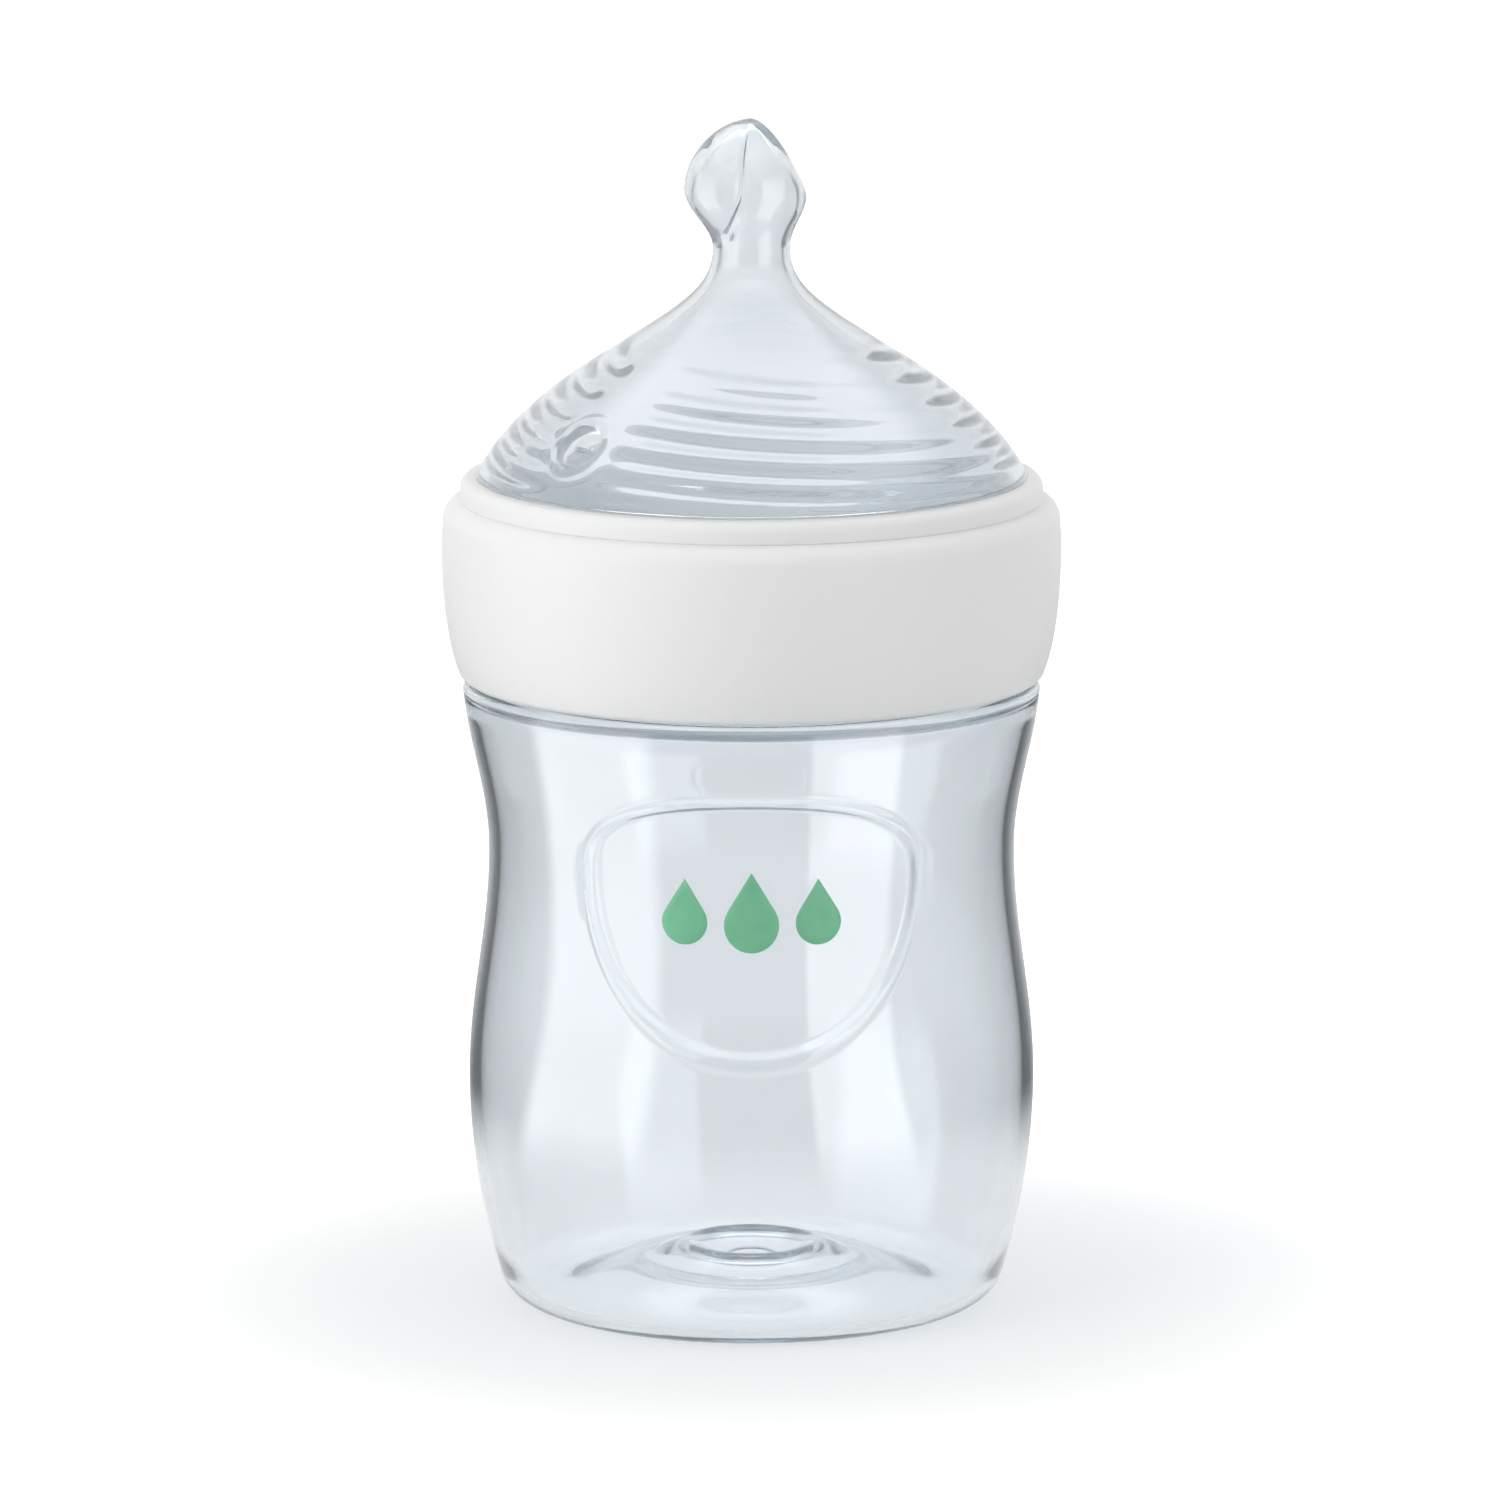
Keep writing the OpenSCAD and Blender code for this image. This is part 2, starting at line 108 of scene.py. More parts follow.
# The cone's outline is two curves: where they meet, their slopes in degrees and their pulls.
CONE_MID, FOOT_LEAN, MID_LEAN = 0.56, 63, 32.5
FOOT_PULL, BELOW_PULL, ABOVE_PULL, NECK_PULL = 0.33, 0.12, 0.37, 0.16
THIN_RATE = 1.2
RIDGE_H, RIDGE_STEP, RIDGES, RIDGE_STARTS = 0.24, 2.3, 6, 4
RIDGE_UP, RIDGE_FADE = 1.5, 0.6
RIDGE_Z = CONE_Z + RIDGE_UP
# Where the ridges fade, in degrees: by the vent, front right and behind.
PLAIN_HALF, FAINT_TURN, FAINT_HALF, FAINT_SHARE = 13, 48, 26, 0.6
BACK_FROM, BACK_OVER, BACK_SHARE = 85, 45, 0.8
TEAT_Z = CONE_Z + CONE_H
TEAT_H = TIP_Z - TEAT_Z
TEAT_NECK_R, TEAT_T = 4.25, 0.95
BULB_OUT, BULB_BACK, BULB_HALF_W, BULB_TURN = 7.75, 5.5, 6.0, 60
BULB_Z, CORNER_Z, TIP_ROUND = 6.8, 6.2, 0.9
LOBE_SHARE, LOBE_Z, LOBE_LOW = 0.86, 7.5, 5.7
LOBE_EDGE, FLAT_BOXY = 4, 0.72
OUT_POWER, HALF_POWER, SLOPE_POWER = 1.85, 1.9, 6
CREASE_H, CREASE_IN, CREASE_OUT, CREASE_INSIDE = 0.5, 0.3, 0.7, 1.7
CREASE_SIDE, CREASE_LOW, CREASE_RISE, CREASE_TOP, CREASE_FALL = 0.45, 0.3, 1.5, 0.2, 1.2
# The wall thins near the tip on the flat side, from this far below the corner.
TIP_THIN, THIN_BELOW, THIN_OVER = 0.5, 1, 3
TIP_WALL = 1.2
CORNER_SOFT = 0.3
TINY = 0.01
VENT_TURN, VENT_R, VENT_DEPTH, VENT_T = 46, 3.0, 0.7, 0.3
VENT_EDGE, VENT_RIM, VENT_ROUND, VENT_BELOW = 0.8, 0.15, 3, 4
SLIT_LEN, SLIT_W, SLIT_DEPTH, SLIT_END, SLIT_FADE = 2.6, 0.3, 0.35, 0.2, 0.4
HOLE_R, HOLE_LEAN, HOLE_SPLAY = 0.3, 18, 14
HOLE_OUT, HOLE_STEP, HOLE_DEPTH = 1.6, 1.2, 0.5
HOLE_WIDE, HOLE_SOFT = 2, 1.2


# ---- curves ----


def blend(t):
    return (1 - np.cos(np.pi * np.clip(t, 0, 1))) / 2


def mix(a, b, t):
    return a + (b - a) * t


def bezier(points, t):
    points = [np.array(p, float) for p in points]
    while len(points) > 1:
        points = [mix(a, b, t) for a, b in zip(points, points[1:])]
    return points[0]


def arc(centre, r, start, stop, steps):
    return [
        (centre[0] + r * np.cos(a), centre[1] + r * np.sin(a))
        for a in np.radians(np.linspace(start, stop, steps + 1))
    ]


def line(start, stop, steps):
    """Evenly spaced points after start, up to stop."""
    start, stop = np.array(start, float), np.array(stop, float)
    return [tuple(mix(start, stop, i / steps)) for i in range(1, steps + 1)]


def power(value, exponent):
    return np.sign(value) * np.abs(value) ** exponent


# ---- meshes ----

# The angle in degrees from which an edge between two faces stays sharp.
SHARP = 38


def columns(centre, half, fine, coarse):
    """Angles round the axis, from the front towards the right, crowded where detail is."""
    near = np.arange(centre - half, centre + half, fine)
    count = int((360 - 2 * half) / coarse)
    far = np.linspace(centre + half, centre - half + 360, count, endpoint=False)
    return np.radians(np.concatenate([near, far]))


def round_axis(r, angles, z):
    return np.stack([r * np.sin(angles), -r * np.cos(angles), z], 1)


def turn(profile, angles, swell=None):
    """Rows of points round the axis for a profile of (radius, height). swell adds to a radius."""
    rows = []
    for r, z in profile:
        radius = np.full(len(angles), float(r))
        if swell:
            radius = radius + swell(radius, angles, z)
        rows.append(round_axis(radius, angles, np.full(len(angles), float(z))))
    return rows


def skin(name, rows, poles):
    """A closed mesh through the rows. With poles the first and last rows are points on the axis,
    and without them the last row joins the first."""
    rows = np.array(rows) * MM
    count, n = rows.shape[:2]
    if poles:
        points = np.concatenate([rows[0, :1], rows[1:-1].reshape(-1, 3), rows[-1, :1]])
        index = np.arange((count - 2) * n).reshape(count - 2, n) + 1
    else:
        points = rows.reshape(-1, 3)
        index = np.arange(count * n).reshape(count, n)
        index = np.concatenate([index, index[:1]])
    beside = np.roll(index, -1, axis=1)
    quads = np.stack([index[:-1], beside[:-1], beside[1:], index[1:]], -1).reshape(-1, 4)
    faces = quads.tolist()
    if poles:
        last = len(points) - 1
        faces += [[0, int(b), int(a)] for a, b in zip(index[0], beside[0])]
        faces += [[last, int(a), int(b)] for a, b in zip(index[-1], beside[-1])]
    mesh = bpy.data.meshes.new(name)
    mesh.from_pydata(points.tolist(), [], faces)
    mesh.validate()
    piece = bpy.data.objects.new(name, mesh)
    bpy.context.scene.collection.objects.link(piece)
    bpy.context.view_layer.objects.active = piece
    piece.select_set(True)
    bpy.ops.object.mode_set(mode="EDIT")
    bpy.ops.mesh.select_all(action="SELECT")
    bpy.ops.mesh.normals_make_consistent(inside=False)
    bpy.ops.object.mode_set(mode="OBJECT")
    piece.select_set(False)
    mesh.polygons.foreach_set("use_smooth", [True] * len(mesh.polygons))
    mesh.set_sharp_from_angle(angle=np.radians(SHARP))
    mesh.update()
    return piece


# ---- bottle ----


def body_r(z):
    z = np.asarray(z, float)
    low = mix(BELLY_R, WAIST_R, blend((z - BELLY_Z) / (WAIST_Z - BELLY_Z)))
    high = mix(WAIST_R, SHOULDER_R, blend((z - WAIST_Z) / (PEAK_Z - WAIST_Z)))
    return np.where(z < WAIST_Z, low, high)


heel_lean = np.radians(HEEL_LEAN)
heel_end = np.array([FOOT_R + HEEL_R * np.cos(heel_lean), HEEL_R - HEEL_R * np.sin(heel_lean)])
heel_aim = np.array([BELLY_R, heel_end[1] + (BELLY_R - heel_end[0]) / np.tan(heel_lean)])


def low_side(t):
    return bezier([heel_end, heel_aim, (BELLY_R, BELLY_Z)], t)


def bead(r, height, crest_r, width):
    return height * np.exp(-(((r - crest_r) / width) ** 2))


def under_at(r):
    """Height of the underside: pushed up in the middle, with a round bead."""
    return PUSH_H * blend((FOOT_IN_R - r) / PUSH_W) + bead(r, DIMPLE_H, DIMPLE_R, DIMPLE_W)


def thread_swell(root_r, crest_r, start_z):
    """A right-hand trapezoidal thread as a change of radius."""
    outward = np.sign(crest_r - root_r)

    def swell(radius, angles, z):
        round_from_x = np.degrees(angles - np.pi / 2) % 360
        best = np.zeros(len(angles))
        for lap in (0, 360):
            a = round_from_x + lap
            to_end = np.minimum(a, 360 * THREAD_TURNS - a)
            grown = abs(crest_r - root_r) * blend(to_end / THREAD_TAPER)
            offset = np.abs(z - start_z - PITCH * a / 360)
            best = np.maximum(best, np.clip((THREAD_W / 2 - offset) / THREAD_SLOPE, 0, grown))
        return outward * best

    return swell


def shield_swell(radius, angles, z):
    """The raised rim of the shield: rounded at both edges, wider at its lower point."""
    x, y = radius * np.sin(angles), z - SHIELD_Z
    reach = np.hypot(x, y)
    up = y > 0
    boxy = 2 / (SHIELD_BOXY_UP if up else SHIELD_BOXY_DOWN)

    def gauge(inset, lip):
        tall = SHIELD_UP - inset if up else SHIELD_DOWN - inset - lip
        across, high = np.abs(x / (SHIELD_W - inset)) ** boxy, np.abs(y / tall) ** boxy
        return (across + high) ** (1 / boxy) + 1e-9

    outer, inner = gauge(0, 0), gauge(SHIELD_RIM, SHIELD_LIP)
    depth = np.minimum((1 / outer - 1) * reach, (1 - 1 / inner) * reach) / SHIELD_EDGE
    depth = np.where(np.cos(angles) > 0, np.clip(depth, 0, 1), 0)
    return SHIELD_H * blend(depth)


def steps_between(start, stop, step):
    return max(int(round(abs(stop - start) / step)), 1)


def heights(start, stop, step):
    return np.linspace(start, stop, steps_between(start, stop, step) + 1)[1:]


# The columns and rows of the meshes: degrees on each side of the detail, degrees between its
# columns and between the others, and millimetres between rows.
SHIELD_SPAN, VENT_SPAN, RING_SPAN = (38, 0.45, 3), (9, 0.45, 1.6), (0.5, 0.5, 2)
BEADED_R, BEADED_STEP, FLOOR_STEP = 12, 0.3, 0.8
SHIELD_STEP, WALL_STEP, INSIDE_STEP, THREAD_STEP = 0.25, 1.2, 1.4, 0.35
SHIELD_MARGIN = 0.4


def make_bottle():
    angles = columns(0, *SHIELD_SPAN)
    floor_radii = [0, 0.4, *heights(0.6, BEADED_R, BEADED_STEP)]
    floor_radii += [*heights(BEADED_R, FOOT_IN_R, FLOOR_STEP)]
    foot = [(r, under_at(r) + bead(r, GATE_H, GATE_R, GATE_W)) for r in floor_radii]
    side = arc((FOOT_R, HEEL_R), HEEL_R, -90, -HEEL_LEAN, 10)
    side += [low_side(i / 16) for i in range(1, 17)]
    shield_low = SHIELD_Z - SHIELD_DOWN - SHIELD_MARGIN
    shield_high = SHIELD_Z + SHIELD_UP + SHIELD_MARGIN
    round_low = SHOULDER_Z - SHOULDER_ROUND
    body_z = np.concatenate([
        heights(BELLY_Z, shield_low, WALL_STEP),
        heights(shield_low, shield_high, SHIELD_STEP),
        heights(shield_high, round_low, WALL_STEP),
    ])
    edge = float(body_r(round_low))
    shoulder = arc((edge - SHOULDER_ROUND, round_low), SHOULDER_ROUND, 15, 90, 6)
    fillet_z = SHOULDER_Z + NECK_FILLET
    shoulder += arc((NECK_R + NECK_FILLET, fillet_z), NECK_FILLET, 270, 180, 4)
    neck = [(NECK_R, z) for z in heights(fillet_z, RIM_Z - RIM_ROUND, THREAD_STEP)]
    rim = arc((NECK_R - RIM_ROUND, RIM_Z - RIM_ROUND), RIM_ROUND, 15, 90, 4)
    inside = [(MOUTH_R + RIM_ROUND, RIM_Z), (MOUTH_R, RIM_Z - RIM_ROUND)]
    inside += line((MOUTH_R, RIM_Z - RIM_ROUND), (MOUTH_R, INNER_NECK_Z), 6)
    wall_r = float(body_r(INNER_SHOULDER_Z)) - WALL
    bend = [(MOUTH_R, INNER_NECK_Z), (MOUTH_R, INNER_NECK_Z - SHOULDER_BEND)]
    bend += [(wall_r, INNER_SHOULDER_Z + SHOULDER_BEND), (wall_r, INNER_SHOULDER_Z)]
    inside += [bezier(bend, i / 14) for i in range(1, 15)]
    wall_z = heights(INNER_SHOULDER_Z, BELLY_Z, INSIDE_STEP)
    inside += [(float(body_r(z)) - WALL, z) for z in wall_z]
    inside += [low_side(mix(1, INNER_HEEL_SHARE, i / 14)) - (WALL, 0) for i in range(1, 15)]
    inside += arc((FOOT_R, HEEL_R), HEEL_R - BASE_T, -HEEL_LEAN, -90, 8)
    inside += [(r, under_at(r) + BASE_T) for r in reversed(floor_radii)]
    rows = turn(foot + side, angles)
    rows += turn([(float(body_r(z)), z) for z in body_z], angles, shield_swell)
    rows += turn(shoulder, angles)
    rows += turn(neck, angles, thread_swell(NECK_R, NECK_R + THREAD_H, NECK_THREAD_Z))
    rows += turn(rim + inside, angles)
    return skin("clear_bottle", rows, poles=True)


def drop_outline(h):
    """A plain drop, point up, centred on its own middle."""
    r = h * DROP_ROUND
    lean = np.degrees(np.arcsin(r / (h - r)))
    round_part = arc((0, r - h / 2), r, 180 - lean, 360 + lean, 20)
    tip = (0, h / 2)
    rising = line(round_part[-1], tip, 6)
    falling = line(tip, round_part[0], 6)[:-1]
    return np.array(round_part + rising + falling)


# A drop's rows from the middle of its face, round its edge, to the middle of its back: the
# share of its outline, and the height above the bottle.
DROP_ROWS = (
    *((share, INK_T) for share in (0, 0.35, 0.7, 0.96)),
    (1, INK_T / 2),
    *((share, -INK_ROOT) for share in (1, 0.5, 0)),
)


def make_drop(name, x, h):
    outline = drop_outline(h)
    rows = []
    for scale, lift in DROP_ROWS:
        flat = outline * scale + (x, PRINT_Z)
        r = body_r(flat[:, 1]) + lift
        rows.append(np.stack([flat[:, 0], -np.sqrt(r**2 - flat[:, 0] ** 2), flat[:, 1]], 1))
    return skin(name, rows, poles=True)


# ---- screw ring ----


def make_ring():
    angles = columns(0, *RING_SPAN)
    land_z = TOP_Z - LIP_ROUND - LIP_LAND
    round_z = land_z - GROOVE_D - RING_ROUND
    wide_z = round_z - RING_WIDE_DROP
    edge_r = RING_R - ROUND_INSET
    flare = [(RING_FOOT_R + FLARE_OUT, RING_Z + FLARE_LOW), (RING_R, RING_Z + FLARE_HIGH)]
    flare += [(RING_R, wide_z)]
    outside = arc((RING_FOOT_R - FOOT_ROUND, RING_Z + FOOT_ROUND), FOOT_ROUND, -90, -12, 6)
    outside += [bezier(flare, i / 20) for i in range(1, 21)]
    outside += arc((edge_r - RING_ROUND, round_z), RING_ROUND, 0, 72, 10)
    outside += [(LIP_R - GROOVE_D, land_z - GROOVE_D), (LIP_R, land_z)]
    outside += arc((LIP_R - LIP_ROUND, TOP_Z - LIP_ROUND), LIP_ROUND, 0, 90, 8)
    outside += [(RING_OPEN_R, TOP_Z), (RING_OPEN_R, WEB_Z), (BORE_R, WEB_Z)]
    bore = [(BORE_R, z) for z in heights(WEB_Z, RING_Z, THREAD_STEP)]
    rows = turn(outside, angles)
    rows += turn(bore, angles, thread_swell(BORE_R, NECK_R + RING_CLEAR, RING_THREAD_Z))
    return skin("screw_ring_shell", rows, poles=False)


# ---- nipple ----


def leaning(r, angle):
    return np.array([-r * np.cos(np.radians(angle)), r * np.sin(np.radians(angle))])


cone_foot = np.array([CONE_R, CONE_Z])
cone_mid = np.array([CONE_R / 2, CONE_Z + CONE_MID * CONE_H])
cone_top = np.array([TEAT_NECK_R, TEAT_Z])


def cone_at(t):
    """The cone's outline as (radius, height), from its foot at 0 to the teat's neck at 2."""
    if t < 1:
        leave = cone_foot + leaning(CONE_H * FOOT_PULL, FOOT_LEAN)
        reach = cone_mid - leaning(CONE_H * BELOW_PULL, MID_LEAN)
        return bezier([cone_foot, leave, reach, cone_mid], t)
    leave = cone_mid + leaning(CONE_H * ABOVE_PULL, MID_LEAN)
    return bezier([cone_mid, leave, cone_top - (0, CONE_H * NECK_PULL), cone_top], t - 1)


def cone_normal(t):
    d = cone_at(min(t + 0.01, 2)) - cone_at(max(t - 0.01, 0))
    return np.array([d[1], -d[0]]) / np.hypot(*d)


def degrees_from(angles, centre):
    """Degrees from centre, between -180 and 180."""
    return (np.degrees(angles) - centre + 180) % 360 - 180


def ridge_height(angles, z):
    """A shallow spiral of ridges that falls as it runs counterclockwise."""
    round_ccw = angles / (2 * np.pi)
    phase = (z - RIDGE_Z) / RIDGE_STEP + RIDGE_STARTS * round_ccw
    wave = blend(1 - np.abs(2 * (phase % 1) - 1))
    high = RIDGE_Z + RIDGES * RIDGE_STEP
    zone = blend((z - RIDGE_Z) / RIDGE_FADE + 0.5) * blend((high - z) / RIDGE_FADE + 0.5)
    plain = np.exp(-(degrees_from(angles, -VENT_TURN) / PLAIN_HALF) ** 4)
    faint = FAINT_SHARE * np.exp(-(degrees_from(angles, FAINT_TURN) / FAINT_HALF) ** 4)
    behind = BACK_SHARE * blend((np.abs(degrees_from(angles, 0)) - BACK_FROM) / BACK_OVER)
    return RIDGE_H * wave * zone * (1 - plain) * (1 - faint) * (1 - behind)


def cone_inside_row(t, angles):
    p, out = cone_at(t), cone_normal(t)
    thick = mix(CONE_T, TEAT_T, blend((t - 1) * THIN_RATE)) + ridge_height(angles, p[1])
    return round_axis(p[0] - out[0] * thick, angles, p[1] - out[1] * thick)


vent_side = np.radians(-VENT_TURN)
vent_at, vent_out = cone_at(VENT_T), cone_normal(VENT_T)


def swing(p, side):
    """A (radius, height) pair as a point or direction in space, at an angle from the front."""
    return np.array([p[0] * np.sin(side), -p[0] * np.cos(side), p[1]])


def vent_sink(points):
    """Shapes the vent: a round recess with a flat floor, a slit in it and a soft raised rim."""
    centre, axis = swing(vent_at, vent_side), swing(vent_out, vent_side)
    offset = points - centre
    along = offset @ axis
    away = np.linalg.norm(offset - along[:, None] * axis, axis=1)
    near = (away < VENT_R + VENT_ROUND) & (along > -VENT_BELOW)
    upward = swing((0, 1), vent_side)
    across = np.abs(offset @ upward / vent_out[0])
    beside = np.abs(offset @ np.cross(axis, upward) / vent_out[0])
    slit_end = blend((SLIT_LEN / 2 + SLIT_END - beside) / SLIT_FADE)
    slit = SLIT_DEPTH * blend((SLIT_W - across) / SLIT_W) * slit_end
    depth = blend((VENT_R - away) / VENT_EDGE)
    rim = VENT_RIM * np.exp(-(((away - VENT_R - VENT_EDGE) / VENT_EDGE) ** 2))
    push = np.where(near, (VENT_DEPTH + along + slit) * depth - rim, 0)
    return points - push[:, None] * axis


def bulb_reach(h):
    """How far the teat reaches at h above its neck: rounded side, flat side and half width."""

    def under(full, reach):
        return mix(TEAT_NECK_R, reach, blend(h / full))

    def over(reach, exponent):
        return reach * max(1 - ((h - BULB_Z) / (TEAT_H - BULB_Z)) ** exponent, 0) ** (1 / exponent)

    slope_t = (h - CORNER_Z) / (TEAT_H - CORNER_Z)
    tip_r = TIP_ROUND * np.sqrt(max(1 - slope_t**SLOPE_POWER, 0))
    slope = mix(BULB_BACK - TIP_ROUND, 0, slope_t) + tip_r
    both = np.exp(-under(CORNER_Z, BULB_BACK) / CORNER_SOFT) + np.exp(-slope / CORNER_SOFT)
    back = max(-CORNER_SOFT * np.log(both), min(slope, TIP_ROUND))
    return (
        under(BULB_Z, BULB_OUT) if h < BULB_Z else over(BULB_OUT, OUT_POWER),
        back,
        under(BULB_Z, BULB_HALF_W) if h < BULB_Z else over(BULB_HALF_W, HALF_POWER),
    )


def crease(h, w, half, rounded):
    """Depth of the soft crease that runs round the rounded lobe."""
    wide = max(LOBE_SHARE * half, TINY)
    reach = np.hypot(w / wide, max(LOBE_Z - h, 0) / LOBE_LOW)
    off = (reach - 1) * wide
    near_side = blend(w / wide / CREASE_SIDE)
    soft = np.where(off < 0, CREASE_IN, CREASE_OUT)
    ends = blend((h - CREASE_LOW) / CREASE_RISE)
    ends = ends * blend((TEAT_H - CREASE_TOP - h) / CREASE_FALL)
    return CREASE_H * rounded * near_side * ends * np.exp(-((off / soft) ** 2))


def hole_dents(points):
    """Sinks the mouths of the three flow holes into the tip."""
    side = np.radians(-BULB_TURN)
    right = np.array([np.cos(side), np.sin(side), 0])
    for i in (-1, 0, 1):
        lean, splay = np.radians(HOLE_LEAN), np.radians(HOLE_SPLAY * i)
        axis = swing((np.sin(lean), np.cos(lean)), side) + np.sin(splay) * right
        axis = axis / np.linalg.norm(axis)
        offset = points - (swing((HOLE_OUT, TEAT_Z), side) + i * HOLE_STEP * right)
        away = np.linalg.norm(offset - (offset @ axis)[:, None] * axis, axis=1)
        depth = HOLE_DEPTH * blend((HOLE_WIDE * HOLE_R - away) / (HOLE_SOFT * HOLE_R))
        depth = depth * (points[:, 2] > TEAT_Z + BULB_Z)
        points = points - depth[:, None] * axis
    return points


def bulb_row(h, inset, angles):
    """One level of the teat, h above its neck, with the rounded side turned to the left. inset
    is the wall on the inner skin and 0 on the outer one."""
    a = angles + np.radians(BULB_TURN)
    out, back, half = bulb_reach(h)
    rounded = np.cos(a) > 0
    boxy = np.where(rounded, 1, mix(1, FLAT_BOXY, blend(h / CORNER_Z)))
    sunk = crease(h, half * np.sin(a), half, blend(np.cos(a) * LOBE_EDGE + 0.5))
    sunk = sunk * (1 if inset == 0 else CREASE_INSIDE)
    back_inset = inset * (1 - TIP_THIN * blend((h - CORNER_Z + THIN_BELOW) / THIN_OVER))
    far = np.where(rounded, out - inset, back - back_inset)
    u = power(np.cos(a), boxy) * np.maximum(far - sunk, TINY)
    w = power(np.sin(a), boxy) * np.maximum(half - inset - sunk, TINY)
    z = TEAT_Z + h * (TEAT_H - TIP_WALL * inset) / TEAT_H
    side = np.radians(-BULB_TURN)
    x = u * np.sin(side) + w * np.cos(side)
    y = -u * np.cos(side) + w * np.sin(side)
    return np.stack([x, y, np.full(len(a), z)], 1)


def clears_web(t):
    """Whether the cone's inner skin is above the ring's web at t."""
    return cone_at(t)[1] - cone_normal(t)[1] * CONE_T > WEB_Z + CONE_EDGE


def make_nipple():
    angles = columns(-VENT_TURN, *VENT_SPAN)
    edge_r = FLANGE_R - FLANGE_ROUND
    lower = [(FLANGE_IN_R, WEB_Z), (FLANGE_IN_R, RIM_Z)]
    lower += [(edge_r, RIM_Z), (FLANGE_R, RIM_Z + FLANGE_ROUND)]
    lower += [(FLANGE_R, WEB_Z - FLANGE_ROUND), (edge_r, WEB_Z)]
    lower += [(GROOVE_R, WEB_Z), (GROOVE_R, TOP_Z), (CONE_R - CONE_EDGE, TOP_Z)]
    levels = [BULB_Z * i / 26 for i in range(1, 27)]
    levels += [mix(BULB_Z, TEAT_H, np.sin(np.pi / 2 * i / 24)) for i in range(1, 25)]
    start = next(t for t in np.linspace(0, 1, 400) if clears_web(t))
    rows = [bulb_row(h, TEAT_T, angles) for h in reversed(levels)]
    rows += [cone_inside_row(t, angles) for t in np.linspace(2, start, 150)]
    rows += turn(lower, angles)
    rows += [vent_sink(row) for row in turn([cone_at(t) for t in np.linspace(0, 1, 90)], angles)]
    rows += turn([cone_at(t) for t in np.linspace(1, 2, 24)[1:]], angles)
    rows += [hole_dents(bulb_row(h, 0, angles)) for h in levels]
    return skin("soft_nipple", rows, poles=True)


# ---- materials ----


def material(name, **sockets):
    made = bpy.data.materials.new(name)
    made.use_nodes = True
    shader = made.node_tree.nodes["Principled BSDF"]
    for socket, value in sockets.items():
        shader.inputs[socket.replace("_", " ")].default_value = value
    return made, shader


def node(made, kind, **values):
    added = made.node_tree.nodes.new(kind)
    for name, value in values.items():
        if name in added.inputs:
            added.inputs[name].default_value = value
        else:
            setattr(added, name, value)
    return added


def wire(made, source, output, target, socket):
    made.node_tree.links.new(source.outputs[output], target.inputs[socket])


def noise(made, scale, detail, stretch=None):
    added = node(made, "ShaderNodeTexNoise", Scale=scale, Detail=detail)
    coords = node(made, "ShaderNodeTexCoord")
    if stretch:
        mapping = node(made, "ShaderNodeMapping", Scale=stretch)
        wire(made, coords, "Object", mapping, "Vector")
        wire(made, mapping, "Vector", added, "Vector")
    else:
        wire(made, coords, "Object", added, "Vector")
    return added


# The part of a noise's range that is spread over the whole of a value or a colour.
MIDDLE = (0.3, 0.7)


def spread(made, source, low, high):
    """The noise's middle as a value from low to high."""
    added = node(made, "ShaderNodeMapRange")
    for socket, value in zip(("From Min", "From Max", "To Min", "To Max"), (*MIDDLE, low, high)):
        added.inputs[socket].default_value = value
    wire(made, source, "Fac", added, "Value")
    return added


def tint(made, source, low, high):
    """The noise's middle as a colour from low to high."""
    ramp = node(made, "ShaderNodeValToRGB")
    first, second = ramp.color_ramp.elements
    first.position, second.position = MIDDLE
    first.color, second.color = (*low, 1), (*high, 1)
    wire(made, source, "Fac", ramp, "Fac")
    return ramp


def bump(made, shader, source, height):
    added = node(made, "ShaderNodeBump", Strength=1.0, Distance=height)
    wire(made, source, "Fac", added, "Height")
    wire(made, added, "Normal", shader, "Normal")


def color_from(made, shader, source, low, high):
    wire(made, tint(made, source, low, high), "Color", shader, "Base Color")


def roughness_from(made, shader, source, low, high):
    wire(made, spread(made, source, low, high), "Result", shader, "Roughness")


def absorb(made, color, density):
    """Colours the light by how far it runs inside the piece."""
    inside = node(made, "ShaderNodeVolumeAbsorption", Color=(*color, 1), Density=density)
    wire(made, inside, "Volume", made.node_tree.nodes["Material Output"], "Volume")


def let_lamps_in(made, shader, color):
    """Lamps reach what is behind the clear piece, dimmed by its colour."""
    path = node(made, "ShaderNodeLightPath")
    either = node(made, "ShaderNodeMath", operation="MAXIMUM")
    made.node_tree.links.new(path.outputs["Is Shadow Ray"], either.inputs[0])
    made.node_tree.links.new(path.outputs["Is Diffuse Ray"], either.inputs[1])
    open_way = node(made, "ShaderNodeBsdfTransparent", Color=(*color, 1))
    both = node(made, "ShaderNodeMixShader")
    wire(made, either, "Value", both, "Fac")
    made.node_tree.links.new(shader.outputs[0], both.inputs[1])
    made.node_tree.links.new(open_way.outputs[0], both.inputs[2])
    wire(made, both, "Shader", made.node_tree.nodes["Material Output"], "Surface")


def clear_plastic():
    made, shader = material("clear_plastic", Transmission_Weight=0.95, IOR=1.5, Roughness=0.02)
    haze = noise(made, 140, 4)
    color_from(made, shader, haze, (0.924, 0.94, 0.956), (0.934, 0.949, 0.964))
    roughness_from(made, shader, noise(made, 60, 3), 0.012, 0.03)
    bump(made, shader, noise(made, 38, 1, (1, 1, 0.35)), 0.00004)
    absorb(made, (0.3, 0.52, 0.64), 50)
    let_lamps_in(made, shader, (0.95, 0.96, 0.97))
    return made


